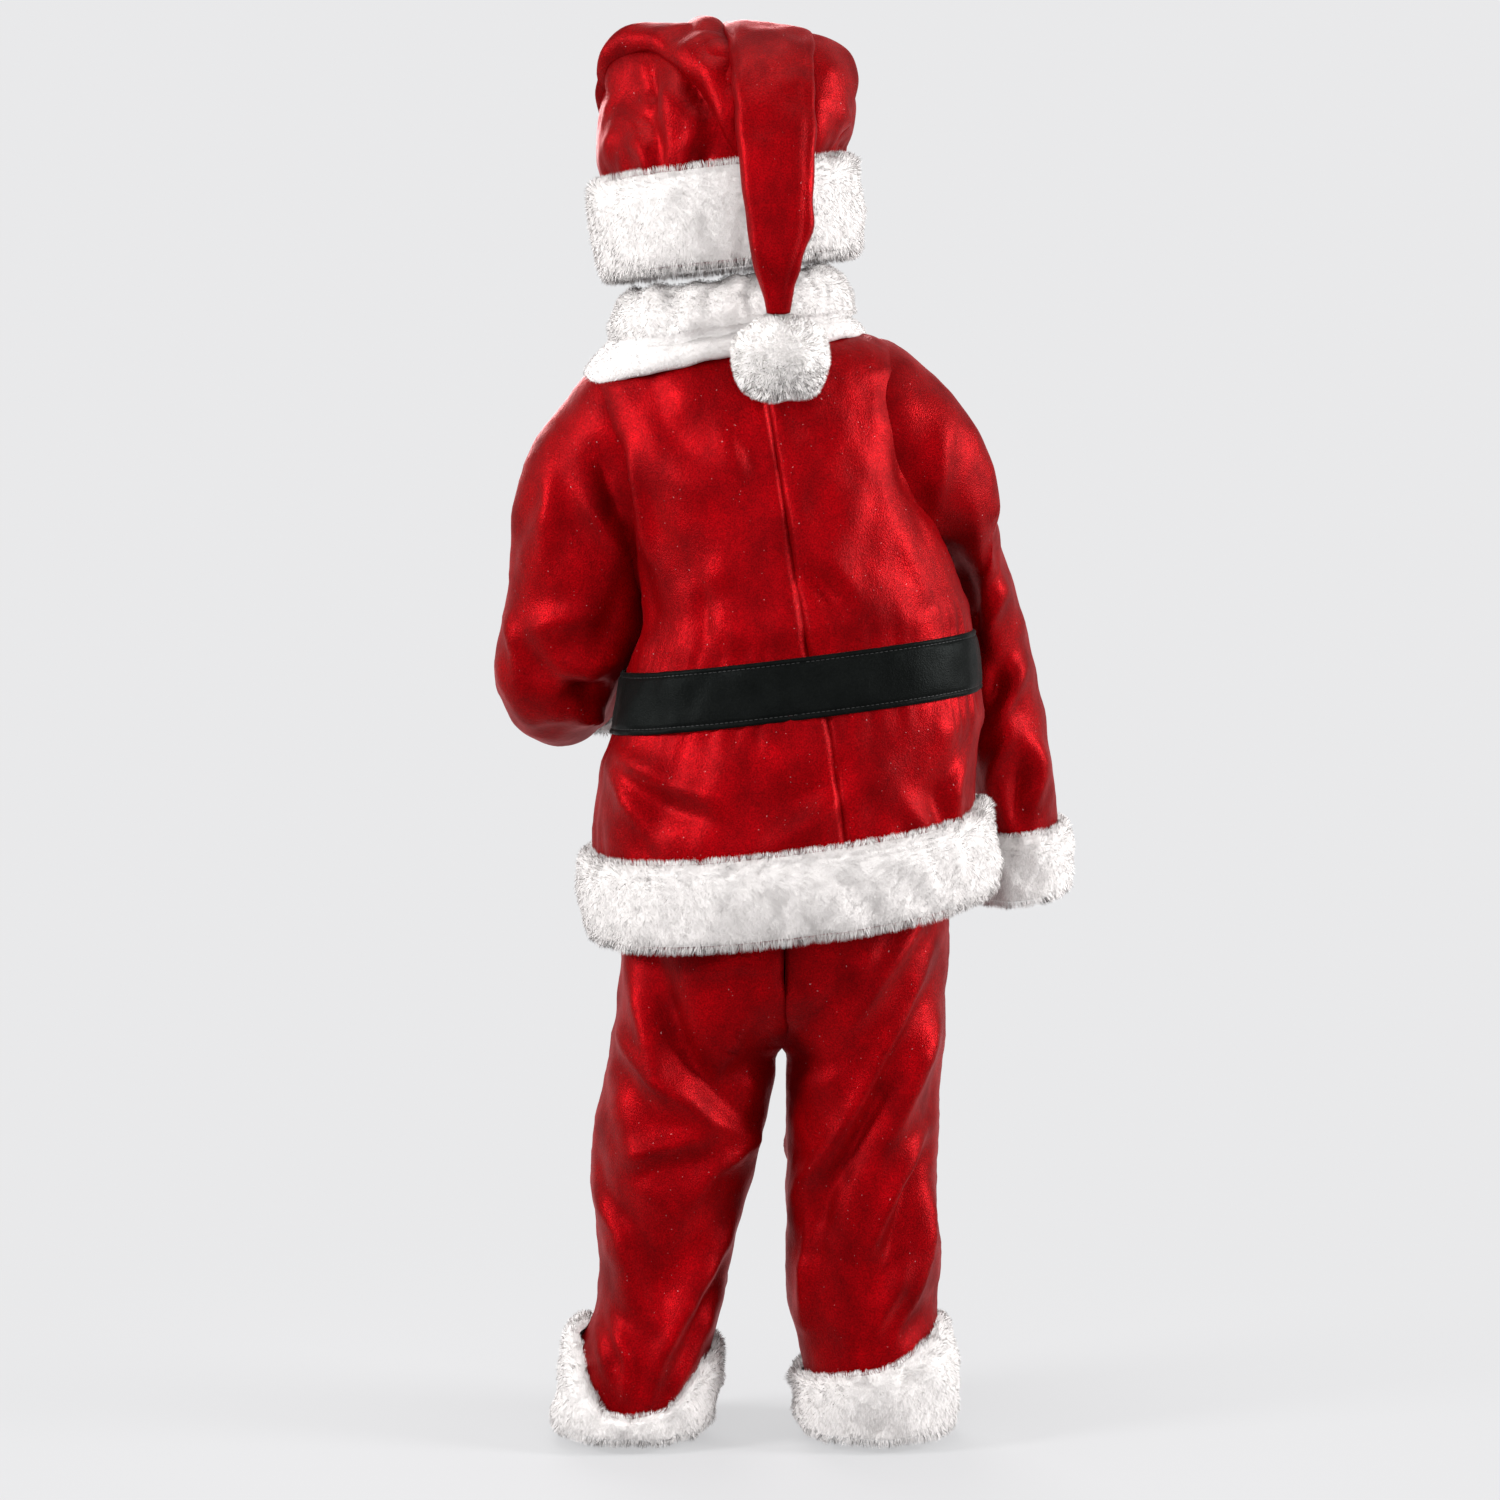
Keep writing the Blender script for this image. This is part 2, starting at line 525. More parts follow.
def curve(rows, place):
    """A smooth curve through a table's rows; a place is a row's number or lies between."""
    index = np.minimum(place.astype(int), len(rows) - 2)
    t = (place - index).reshape(place.shape + (1,) * (rows.ndim - 1))
    before = rows[np.maximum(index - 1, 0)]
    start, end = rows[index], rows[index + 1]
    after = rows[np.minimum(index + 2, len(rows) - 1)]
    return 0.5 * (2 * start + (end - before) * t
                  + (2 * before - 5 * start + 4 * end - after) * t ** 2
                  + (3 * start - before - 3 * end + after) * t ** 3)


def distances(points):
    """How far along a line of points each of them lies."""
    steps = np.linalg.norm(np.diff(points, axis=0), axis=1)
    return np.concatenate(((0.0,), np.cumsum(steps)))


def nearest(place, points, marks):
    """How far places are from a line of points, and the mark of the spot nearest to each."""
    away = np.full(place.shape[:-1], 1e9)
    mark = np.zeros(place.shape[:-1])
    for number in range(len(points) - 1):
        first, step = points[number], points[number + 1] - points[number]
        t = np.clip(((place - first) @ step) / max(step @ step, 1e-12), 0, 1)
        reach = np.linalg.norm(place - first - t[..., None] * step, axis=-1)
        nearer = reach < away
        away = np.where(nearer, reach, away)
        mark = np.where(nearer, marks[number] + t * (marks[number + 1] - marks[number]), mark)
    return away, mark


def smooth(value, low, high):
    share = np.clip((value - low) / (high - low), 0, 1)
    return share * share * (3 - 2 * share)


def bell(value, width):
    """One at nothing, and falling to both sides."""
    return np.exp(-(value / width) ** 2)


def signed_power(share, power):
    return math.copysign(abs(share) ** power, share)


def half_turn(angle):
    """An angle as less than half a turn either way."""
    return (angle + 180) % 360 - 180


def waves(place, seed, length, count=9):
    """An even random unevenness, from waves in random directions."""
    draw = np.random.default_rng(seed)
    total = np.zeros(place.shape[:-1])
    for _ in range(count):
        way = draw.normal(size=3)
        way *= 2 * math.pi / (length * draw.uniform(0.7, 1.5)) / np.linalg.norm(way)
        total += np.sin(place @ way + draw.uniform(0, 2 * math.pi))
    return total / math.sqrt(count / 2)


def stroke(flat, points, width):
    """A soft ridge of height one along a line, with shallow troughs at its sides."""
    marks = distances(points)
    away, share = nearest(flat, points, marks / marks[-1])
    taper = np.sin(math.pi * (0.06 + 0.88 * share)) ** 0.7
    near = np.exp(-((away / width) ** 2 + CREST) ** STEEPNESS)
    return taper * (RIDGE * near - TROUGH * bell(away, TROUGH_SPREAD * width))


class Tube:
    """A wall lofted through rings; each ring has four reaches from its centre."""

    def __init__(self, rings, heights=None, folds=(), squareness=2.3):
        self.rings = np.array(rings, float)
        self.heights = heights
        self.power = 2.0 / squareness
        self.folds = folds

    def along(self, height):
        """The share of the way along the rows at which a level height lies."""
        steps = np.arange(len(self.heights), dtype=float)
        row = np.interp(-height, [-z for z in self.heights], steps)
        return row / (len(self.heights) - 1)

    def ring(self, along):
        """The centre and the four reaches at a share of the way along the rows."""
        share = np.clip(np.asarray(along, float), 0.0, 1.0)
        return curve(self.rings, share * (len(self.rings) - 1))

    def bare(self, along, around):
        """The place on the wall before its folds."""
        along, around = np.broadcast_arrays(np.asarray(along, float), np.asarray(around, float))
        ring = self.ring(along)
        turn = np.radians(around)
        place = ring[..., 0, :].copy()
        for number, share in enumerate((np.sin(turn), -np.sin(turn), np.cos(turn), -np.cos(turn))):
            place += ring[..., number + 1, :] * (np.maximum(share, 0) ** self.power)[..., None]
        return place

    def normal(self, along, around):
        """The way out of the wall, from small steps along and around it."""
        up = self.bare(np.clip(np.add(along, -0.01), 0, 1), around)
        down = self.bare(np.clip(np.add(along, 0.01), 0, 1), around)
        there = self.bare(along, np.add(around, 2.0))
        here = self.bare(along, np.add(around, -2.0))
        way = np.cross(there - here, down - up)
        return way / np.linalg.norm(way, axis=-1, keepdims=True)

    def folded(self, place):
        """How far the folds push a place out of the wall."""
        push = np.zeros(place.shape[:-1])
        share = np.linspace(0, 1, 9)
        for fold in self.folds:
            line = self.bare(fold.along + share * (fold.to_along - fold.along),
                             fold.around + share * half_turn(fold.to_around - fold.around))
            away, mark = nearest(place, line, share)
            push += fold.height * MM * np.sin(math.pi * mark) ** 0.6 * bell(away, fold.width * MM)
        return push


class Cloth(Tube):
    """A tube with the fine creases of its cloth: those that the photograph shows on
    the back, and the same ones turned over for the front."""

    def __init__(self, tube, creases=(), extras=(), waves=0.0004, seed=1):
        self.rings, self.heights, self.folds = tube.rings, tube.heights, tube.folds
        self.power = tube.power
        self.creases = creases
        self.extras = extras
        self.waves = waves
        self.seed = seed
        self.middle = float(self.rings[:, 0, 0].mean())

    def creased(self, place, side):
        """The height that the creases give to places on one side of the tube."""
        push = np.zeros(place.shape[:-1])
        for crease in self.creases:
            points = np.array(crease.points, float) * MM
            if side < 0:
                points[:, 0] = 2 * self.middle - points[:, 0]
                points[:, 1] += FRONT_SHIFT
            ridge = stroke(place[..., (0, 2)], points, crease.width * MM)
            push += ridge * crease.height * MM * CREASE_SHARE
        return push

    def at(self, along, around, out=0.0):
        """The place on the creased wall, moved out of it by a distance."""
        along, around = np.broadcast_arrays(np.asarray(along, float), np.asarray(around, float))
        normal = self.normal(along, around)
        facing = normal[..., 1]
        place = self.bare(along, around)
        push = self.folded(place)
        push += self.creased(place, 1) * smooth(facing, *FACING)
        push += self.creased(place, -1) * smooth(-facing, *FACING) * FRONT_SHARE
        push += waves(place, self.seed, WAVE_LENGTH) * self.waves
        push += waves(place, self.seed + 7, FINE_LENGTH) * self.waves * FINE_SHARE
        for extra in self.extras:
            push += extra(place, along, around % 360)
        return place + normal * (push + out)[..., None]


def level_rings(rows, lean=0.0, centre=(0.0, 0.0, 0.0), drops=None):
    """Rings of level rows, leaned as one towards +X about a centre."""
    rings = []
    for number, row in enumerate(rows):
        middle, reach = (row.left + row.right) / 2, (row.left - row.right) / 2
        drop = drops[number] if drops else 0.0
        rings.append(((middle, row.y, row.z), (reach, 0, 0), (-reach, 0, 0),
                      (0, row.back, -row.dip), (0, -row.front, -drop)))
    rings = np.array(rings) @ np.array(Matrix.Rotation(lean, 3, "Y")).T
    rings[:, 0, :] += np.array(centre)
    return rings


def leg_rings(rows):
    """Rings of a leg, outer side at +X for the left leg and -X for the right."""
    rings = []
    for row in rows:
        left, right = max(row.outer, row.inner), min(row.outer, row.inner)
        middle, reach = (left + right) / 2, (left - right) / 2
        rings.append(((middle, row.y, row.z), (reach, 0, 0), (-reach, 0, 0),
                      (0, row.back, 0), (0, -row.front, 0)))
    return rings


def sleeve_rings(rows, side):
    """Rings square to the line through their centres; side is 1 left, -1 right."""
    outer = np.array([row.outer for row in rows])
    inner = np.array([row.inner for row in rows])
    centre = (outer + inner) / 2
    way = np.gradient(centre, axis=0)
    rings = []
    for number, row in enumerate(rows):
        reach = (outer[number] - inner[number]) / 2 * side
        back = np.cross(reach, way[number])
        back = back / np.linalg.norm(back) * row.half
        rings.append((centre[number], reach, -reach, back, -back))
    return rings


torso = Tube(level_rings(TORSO, BACK_LEAN), [row.z for row in TORSO], TORSO_FOLDS)
collar_roll = Tube(level_rings(COLLAR_ROLL, BACK_LEAN, drops=COLLAR_FRONT_DROPS))
hat = Tube(level_rings(HAT, HEAD_LEAN, HAT_CENTRE), [row.z for row in HAT], HAT_FOLDS)
tail = Tube(sleeve_rings(TAIL, 1), squareness=2.6)
legs = {
    "left": Tube(leg_rings(LEFT_LEG), [row.z for row in LEFT_LEG], LEFT_LEG_FOLDS, 2.1),
    "right": Tube(leg_rings(RIGHT_LEG), [row.z for row in RIGHT_LEG], RIGHT_LEG_FOLDS, 2.1),
}
sleeves = {
    "left": Tube(sleeve_rings(LEFT_SLEEVE, 1), folds=LEFT_SLEEVE_FOLDS, squareness=2.1),
    "right": Tube(sleeve_rings(RIGHT_SLEEVE, -1), folds=RIGHT_SLEEVE_FOLDS, squareness=2.1),
}
belt_top, belt_bottom = torso.along(BELT_HEIGHTS[0]), torso.along(BELT_HEIGHTS[-1])


def seam_angle(along):
    """The angle at which the back seam's x lies on a ring of the torso."""
    seam = np.interp(along * (len(TORSO) - 1), range(len(TORSO)), [row.seam for row in TORSO])
    ring = torso.ring(along)
    middle = (np.array(Matrix.Rotation(-BACK_LEAN, 3, "Y")) @ ring[0])[0]
    share = (seam - middle) / np.linalg.norm(ring[1])
    return math.degrees(math.asin(signed_power(share, 1 / torso.power)))


seam_places = np.linspace(0, 1, 41)
seam_angles = [seam_angle(along) for along in seam_places]


def back_seam(along):
    return np.interp(along, seam_places, seam_angles)


def depth_in(tube, place, steps=70):
    """How far places lie inside a tube's bare wall; less than nothing outside it."""
    flat = place.reshape(-1, 3)
    best = np.full(len(flat), 1e9)
    depth = np.full(len(flat), -1.0)
    for ring in tube.ring(np.linspace(0, 1, steps)):
        off = flat - ring[0]
        axis = np.cross(ring[1], ring[3])
        axis /= np.linalg.norm(axis)
        away = np.abs(off @ axis)
        left, back, front = (np.linalg.norm(ring[number]) for number in (1, 3, 4))
        side = np.abs(off @ ring[1]) / left ** 2
        across = off @ ring[3] / back
        over = np.where(across > 0, across / back, -across / front)
        size = (side ** (2 / tube.power) + over ** (2 / tube.power)) ** (tube.power / 2)
        nearer = away < best
        best = np.where(nearer, away, best)
        depth = np.where(nearer, (1 - size) * min(left, back), depth)
    return np.where(best < 0.010, depth, -1.0).reshape(place.shape[:-1])


def in_collection(name, mesh, finish):
    """An object of the suit, in one finish."""
    mesh.materials.append(finish)
    made = bpy.data.objects.new(name, mesh)
    pieces.objects.link(made)
    return made


def cloth_object(name, places, finish, closed=False, thickness=VELVET, keep=None,
                 cap_first=False, cap_last=False):
    """A smooth shell through a grid of places, with its thickness inwards."""
    rows, count = places.shape[:2]
    index = np.arange(rows * count).reshape(rows, count)
    after = np.roll(index, -1, axis=1) if closed else index[:, 1:]
    here = index if closed else index[:, :-1]
    faces = np.stack((here[:-1], after[:-1], after[1:], here[1:]), axis=-1)
    if keep is not None:
        faces = faces[keep.ravel()[faces].any(axis=-1)]
    faces = faces.reshape(-1, 4).tolist()
    verts = places.reshape(-1, 3)
    for wanted, row in ((cap_first, 0), (cap_last, rows - 1)):
        if wanted:
            middle = len(verts)
            verts = np.vstack((verts, places[row].mean(axis=0)))
            ring = index[row].tolist()
            faces += [(a, middle, b) if row == 0 else (a, b, middle)
                      for a, b in zip(ring, ring[1:] + ring[:1])]
    mesh = bpy.data.meshes.new(name)
    mesh.from_pydata(verts.tolist(), [], faces)
    mesh.validate()
    mesh.shade_smooth()
    made = in_collection(name, mesh, finish)
    outwards(mesh, places.mean(axis=1))
    loose_out(mesh)
    if thickness:
        wall = made.modifiers.new("cloth", "SOLIDIFY")
        wall.thickness = thickness
        wall.offset = -1.0
        wall.use_even_offset = False
    return made


def loose_out(mesh):
    """Points that no face uses are taken out."""
    work = bmesh.new()
    work.from_mesh(mesh)
    loose = [point for point in work.verts if not point.link_faces]
    if loose:
        bmesh.ops.delete(work, geom=loose, context="VERTS")
        work.to_mesh(mesh)
    work.free()


def outwards(mesh, middle):
    """Turn all faces one way, out of the line through the rings' middles."""
    middle = middle[np.argsort(middle[:, 2])]
    away = 0.0
    for face in list(mesh.polygons)[::7]:
        line = [np.interp(face.center.z, middle[:, 2], middle[:, axis]) for axis in range(3)]
        away += (face.center - Vector(line)).dot(face.normal) * face.area
    if away < 0:
        mesh.flip_normals()


def belt_gathers(place, along, around):
    """Small gathers in the velvet just above and just below the belt."""
    away = np.maximum(belt_top - along, along - belt_bottom) * TORSO_LENGTH
    turn = np.radians(around)
    wave = np.sin(54 * turn + 2.2 * np.sin(7 * turn))
    wave += 0.6 * np.sin(83 * turn + 3 * np.sin(5 * turn))
    some = 0.55 + 0.45 * np.sin(3 * turn + 1.0) * np.sin(7 * turn)
    fade = np.exp(-np.maximum(away, 0) / GATHER_FADE) * smooth(away, -0.004, 0.002)
    return GATHER * wave * some * fade


def hem_gathers(place, along, around):
    """The velvet eases into the plush hem."""
    away = (torso.along(HEM_HEIGHTS[0]) - along) * TORSO_LENGTH
    turn = np.radians(around)
    return HEM_GATHER * np.sin(31 * turn + 2 * np.sin(4 * turn)) * bell(away, HEM_FADE)


def puff_at_belt(place, along, around):
    """The jacket blouses a little above the belt and springs out below it."""
    push = 0.0
    for away, (height, middle) in ((belt_top - along, PUFF_ABOVE), (along - belt_bottom, PUFF_BELOW)):
        push += height * bell(away * TORSO_LENGTH - middle, PUFF_WIDTH)
    return push


def seam_line(angles):
    """A seam pulls the velvet in along a line of angles."""
    def extra(place, along, around):
        push = np.zeros(place.shape[:-1])
        pucker = 1 + 0.35 * np.sin(place[..., 2] * 700 + 4 * np.sin(place[..., 2] * 90))
        for angle in angles:
            line = angle(along) if callable(angle) else angle
            reach = np.abs(np.radians(half_turn(around - line))) * SEAM_REACH
            push -= SEAM_DEPTH * bell(reach, SEAM_WIDTH)
            push += RIDGE_HEIGHT * pucker * bell(reach - RIDGE_PLACE, RIDGE_WIDTH)
        return push
    return extra


def joined_at(other, depth=0.0030, width=0.0075):
    """A seam where this cloth meets another tube's wall."""
    def extra(place, along, around):
        away = depth_in(other, place)
        low = 1 - smooth(place[..., 2], -0.095, -0.050)
        valley = -depth * low * bell(away, width)
        fillet = FILLET * (1 - low) * bell(away, FILLET_WIDTH)
        return (valley + fillet) * (away > -0.03)
    return extra


def seat_seam(place, along, around):
    """The seat seam pulls the velvet in above the crotch."""
    reach = np.abs(place[..., 0] - TROUSER_SPLIT)
    height = place[..., 2]
    above = smooth(height, -0.455, -0.435)
    thigh = smooth(height, -0.503, -0.488) * (1 - smooth(height, -0.45, -0.43))
    return 0.0040 * thigh * bell(reach, 0.022) - 0.0035 * above * bell(reach, 0.006)


def hollow(place, along, around):
    """The dark hollow under the rolled fold, at the crown's back."""
    return -0.0110 * bell(half_turn(around) - 40, 20) * bell(along - 0.40, 0.11)


def hat_gathers(place, along, around):
    """The crown eases into its plush band."""
    away = (hat.along(BAND_HEIGHTS[0]) - along) * 0.19
    turn = np.radians(around)
    wave = np.sin(22 * turn + 2 * np.sin(3 * turn)) + 0.5 * np.sin(37 * turn)
    return HAT_GATHER * wave * np.exp(-(np.maximum(away, 0) / HAT_FADE) ** 1.5)


def tail_creases(place, along, around):
    """Long soft creases down the hanging end, and a fold at its right edge."""
    turn = half_turn(around)
    line = 22 + 30 * np.sin(along * 3.0)
    push = 0.0012 * bell(turn - line, 14) - 0.0011 * bell(turn + line - 4, 12)
    return push * smooth(along, 0.1, 0.3) * (1 - smooth(along, 0.85, 1.0))


def belt_ripple(place, along, around):
    """The belt is pulled a little where the velvet under it is bunched."""
    turn = np.radians(around)
    return 0.0007 * np.sin(13 * turn + 2 * np.sin(3 * turn)) * np.sin(along * 90)


def lumps(height, seed):
    """The plush is lumpy, tuft by tuft."""
    def extra(place, along, around):
        return height * (0.7 * waves(place, seed, 0.022) + 0.5 * waves(place, seed + 1, 0.009))
    return extra


def even_steps(first, last, length):
    """Shares of the way along, a mesh step apart."""
    return np.linspace(first, last, int(round(length / STEP)) + 1)


def circle(count, start=0):
    """Angles all the way round."""
    return np.linspace(start, start + 360, count + 1)[:-1]


def round_grid(rows, count):
    """Shares of the way along, and angles, of a closed tube's mesh."""
    return np.meshgrid(rows, circle(count), indexing="ij")


def panel_grid(rows, starts, ends):
    """Shares of the way along, and angles, of a panel between two lines of angles."""
    share = even_steps(0, 1, PANEL_WIDTH)
    around = starts[:, None] + (ends - starts)[:, None] * share
    return np.repeat(rows[:, None], len(share), axis=1), around


def dress(made, node):
    """The piece rides on the one body, stands for its node, and names its finish."""
    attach(made, "root")
    if node:
        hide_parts(node)


def jacket():
    """Four panels of red velvet, open where the sleeves join them."""
    extras = (belt_gathers, hem_gathers, puff_at_belt, seam_line((back_seam, 90, 180, 270)),
              joined_at(sleeves["left"]), joined_at(sleeves["right"]))
    cloth = Cloth(torso, BACK_CREASES, extras, seed=3)
    rows = even_steps(torso.along(-0.001), torso.along(-0.380), 0.385)
    lines = [angle + 0 * rows for angle in (0, 90, 180, 270, 360)]
    lines[0] = back_seam(rows)
    lines[4] = 360 + back_seam(rows)
    for number, name in enumerate(("back_left", "front_left", "front_right", "back_right")):
        along, around = panel_grid(rows, lines[number], lines[number + 1])
        places = cloth.at(along, around)
        sleeve = sleeves["left" if name.endswith("left") else "right"]
        keep = depth_in(sleeve, torso.bare(along, around)) < ARMHOLE_INSET
        made = cloth_object("jacket_%s_velvet" % name, places, red_velvet, keep=keep)
        dress(made, "jacket_" + name)


def sleeve_pieces():
    """Each sleeve is one tube, open at the armhole and at the cuff."""
    for side, creases, start, seed in (("left", LEFT_SLEEVE_CREASES, 0.02, 11),
                                       ("right", RIGHT_SLEEVE_CREASES, 0.07, 12)):
        tube = sleeves[side]
        extras = (seam_line((180,)), joined_at(torso, 0.0022, 0.0070))
        cloth = Cloth(tube, creases, extras, seed=seed)
        length = distances(tube.rings[:, 0])[-1] * 0.93
        along, around = round_grid(even_steps(start, 0.985, length), SLEEVE_COLUMNS)
        places = cloth.at(along, around)
        keep = depth_in(torso, tube.bare(along, around)) < ARMHOLE_INSET
        made = cloth_object("sleeve_%s_velvet" % side, places, red_velvet, closed=True, keep=keep)
        dress(made, "sleeve_" + side)


def inner_turn(tube, along, sign):
    """How far round from the outer seam a leg's panel reaches: to its own inner
    seam, or above the crotch to the seat seam."""
    ring = tube.ring(along)
    share = (ring[0][0] - TROUSER_SPLIT) * sign / np.linalg.norm(ring[1])
    return 90 + math.degrees(math.asin(signed_power(min(max(share, -1.0), 1.0), 1 / tube.power)))


def trousers():
    """Back and front of each leg, joined down both sides."""
    for side, creases, sign, outer, seed in (("left", LEFT_LEG_CREASES, 1, 90, 21),
                                             ("right", RIGHT_LEG_CREASES, -1, 270, 22)):
        tube = legs[side]
        cloth = Cloth(tube, creases, (seam_line((outer,)), seat_seam), seed=seed)
        rows = tube.along(even_steps(TROUSERS_TOP, TROUSERS_END, TROUSERS_TOP - TROUSERS_END))
        turns = np.array([inner_turn(tube, row, sign) for row in rows])
        for face, way in (("back", -sign), ("front", sign)):
            places = cloth.at(*panel_grid(rows, outer + 0 * turns, outer + way * turns))
            made = cloth_object("leg_%s_%s_velvet" % (face, side), places, red_velvet)
            dress(made, "leg_%s_%s" % (face, side))


def hat_pieces():
    """The crown, its rolled folds, and the end that hangs down the back."""
    cloth = Cloth(hat, HAT_CREASES, (hollow, hat_gathers), seed=31)
    rows = even_steps(0.0, hat.along(-0.030), 0.235)
    places = cloth.at(*round_grid(rows, CROWN_COLUMNS))
    crown = cloth_object("hat_crown_velvet", places, red_velvet, closed=True, cap_first=True)
    dress(crown, "hat_crown")
    for name, (rows, seed, flat, area) in HAT_LOBES.items():
        made = lobe("hat_fold_" + name, cloth, rows, seed)
        dress(made, None)
    hang = Cloth(tail, (), (tail_creases,), waves=0.0005, seed=35)
    places = hang.at(*round_grid(np.linspace(0, 1, TAIL_ROWS), TAIL_COLUMNS))
    made = cloth_object("hat_tail_velvet", places, red_velvet, closed=True, cap_first=True,
                        cap_last=True)
    dress(made, "hat_tail")


def lobe(name, cloth, rows, seed):
    """A rolled fold of the crown, which lies on it with its edges turned under."""
    steps = np.linspace(0, len(rows) - 1, LOBE_ROWS)
    row = curve(np.array(rows, float), steps)[..., None]
    turn = np.linspace(0, math.pi, LOBE_COLUMNS)
    across = 0.5 - 0.5 * np.cos(turn)
    around = row[:, 0] + (row[:, 2] - row[:, 0]) * across
    along = row[:, 1] + (row[:, 3] - row[:, 1]) * across
    out = row[:, 4] * MM * np.sin(turn) ** 0.75 - 0.0015
    places = cloth.at(np.clip(along, 0, 1), around, out)
    places += waves(places, seed, 0.03)[..., None] * np.array((0.0, 0.0008, 0.0006))
    return cloth_object(name, places, red_velvet)


def plush_profile(depth):
    """A plush strip's section: share of the way down it, and its distance out."""
    body = [(0.5 - 0.5 * math.cos(turn), PLUSH_FOOT + PACKED_SHARE * depth * math.sin(turn) ** 0.55)
            for turn in np.linspace(0, math.pi, PROFILE_POINTS)[1:-1]]
    return [(0.0, PLUSH_FOOT)] + body + [(1.0, PLUSH_FOOT)]


def strip_places(cloth, heights, angles, profile):
    """The places of a strip between two level heights of a cloth, row by row."""
    first, last = cloth.along(heights[0]), cloth.along(heights[-1])
    return np.array([cloth.at(first + share * (last - first), angles, out)
                     for share, out in profile])


def plush_cloth(tube, height, seed, wave_seed, waves=0.0012):
    """A tube with the lumps of its plush."""
    return Cloth(tube, (), (lumps(height, seed),), waves=waves, seed=wave_seed)


def strand_mesh(name, points, shading):
    """One mesh of strands, two triangles each, with the shading of what they stand on."""
    count = len(points)
    start = np.arange(count)[:, None] * 4
    triangles = np.concatenate((start + (0, 1, 2), start + (2, 1, 3)), axis=1)
    mesh = bpy.data.meshes.new(name)
    mesh.vertices.add(count * 4)
    mesh.vertices.foreach_set("co", points.astype(np.float32).ravel())
    mesh.loops.add(count * 6)
    mesh.loops.foreach_set("vertex_index", triangles.astype(np.int32).ravel())
    mesh.polygons.add(count * 2)
    mesh.polygons.foreach_set("loop_start", np.arange(0, count * 6, 3, dtype=np.int32))
    mesh.update()
    mesh.shade_smooth()
    shading[:, 2] *= np.where(shading[:, 2] < 0, UNDERSIDE, 1.0)
    shading /= np.linalg.norm(shading, axis=1, keepdims=True)
    mesh.normals_split_custom_set_from_vertices(np.repeat(shading, 4, axis=0).tolist())
    return mesh


def fur(name, places, closed=True, fringe=1.0):
    """Pile that stands out of a grid of places: one mesh of tapered strands.

    Strands lean together in tufts, and keep the shading of the surface they stand on.
    """
    count, length, droop, seed = FURS[name]
    draw = np.random.default_rng(seed)
    grid = np.concatenate((places, places[:, :1]), axis=1) if closed else places
    corner, right, down, far = grid[:-1, :-1], grid[:-1, 1:], grid[1:, :-1], grid[1:, 1:]
    normal = np.cross(far - corner, down - right)
    size = np.linalg.norm(normal, axis=-1)
    normal = normal / np.maximum(size, 1e-12)[..., None]
    middle = places.mean(axis=1)[:-1, None, :]
    if np.mean(np.sum((corner - middle) * normal, axis=-1) * size) < 0:
        normal = -normal
    level = (np.arange(size.shape[0]) + 0.5) / size.shape[0]
    edge = 1 + (fringe - 1) * np.interp(level, FRINGE_LEVELS, FRINGE_SHARES)
    dense = size * edge[:, None] ** 1.5
    cell = np.sort(draw.choice(dense.size, size=count, p=dense.ravel() / dense.sum()))
    row, column = np.divmod(cell, size.shape[1])
    u, v = draw.random(count)[:, None], draw.random(count)[:, None]
    root = ((corner[row, column] * (1 - u) + right[row, column] * u) * (1 - v)
            + (down[row, column] * (1 - u) + far[row, column] * u) * v)
    way = spread(normal, closed)[row, column]
    edge = edge[row][:, None]
    tuft = np.stack([waves(root, seed + 50 + k, TUFT) for k in range(3)], axis=-1)
    fine = np.stack([waves(root, seed + 60 + k, TUFT * 0.45) for k in range(3)], axis=-1)
    direction = (way * STAND + TUFT_LEAN * edge ** 2 * tuft + FINE_LEAN * fine
                 + draw.normal(scale=STRAY, size=(count, 3)))
    direction[:, 2] += np.interp(row / size.shape[0], COMBED_LEVELS, COMBED_SHARES) * droop
    direction /= np.linalg.norm(direction, axis=1, keepdims=True)
    long = length * draw.uniform(SHORTEST, LONGEST, count)[:, None] * (edge - SHORTER)
    # A strand's two sides, turned so that its own face looks out of the plush
    across = np.cross(direction, draw.normal(size=(count, 3)))
    across /= np.linalg.norm(across, axis=1, keepdims=True)
    facing = np.sum(np.cross(across, direction) * way, axis=1, keepdims=True)
    across *= np.where(facing < 0, -1.0, 1.0)
    half = across * STRAND_WIDTH / 2 * draw.uniform(0.7, 1.3, count)[:, None]
    bend = long * (np.array((0.0, 0.0, -SAG)) + CURL * tuft)
    mid = root + direction * long * MIDDLE + bend * 0.15
    tip = root + direction * long + bend * 0.6
    points = np.stack((root - half, mid + half * 0.55, mid - half * 0.55, tip), axis=1)
    mesh = strand_mesh(name, points, way + 0.05 * direction)
    return in_collection(name, mesh, FUR_FINISHES.get(name, white_fur))


def spread(normal, closed):
    """Each cell's way out, evened with its neighbours'."""
    if closed:
        total = normal + np.roll(normal, 1, axis=1) + np.roll(normal, -1, axis=1)
    else:
        total = normal.copy()
        total[:, 1:] += normal[:, :-1]
        total[:, :-1] += normal[:, 1:]
    total[1:] += normal[:-1]
    total[:-1] += normal[1:]
    return total / np.linalg.norm(total, axis=-1, keepdims=True)


def trimmed(name, places, closed=True):
    """A plush trim: its base, its fur, and what they are declared as."""
    base = cloth_object(name + "_plush", places, white_plush, closed=closed, thickness=0.0)
    pile = fur(name + "_fur", places, closed, FRINGE)
    dress(base, name)
    dress(pile, None)


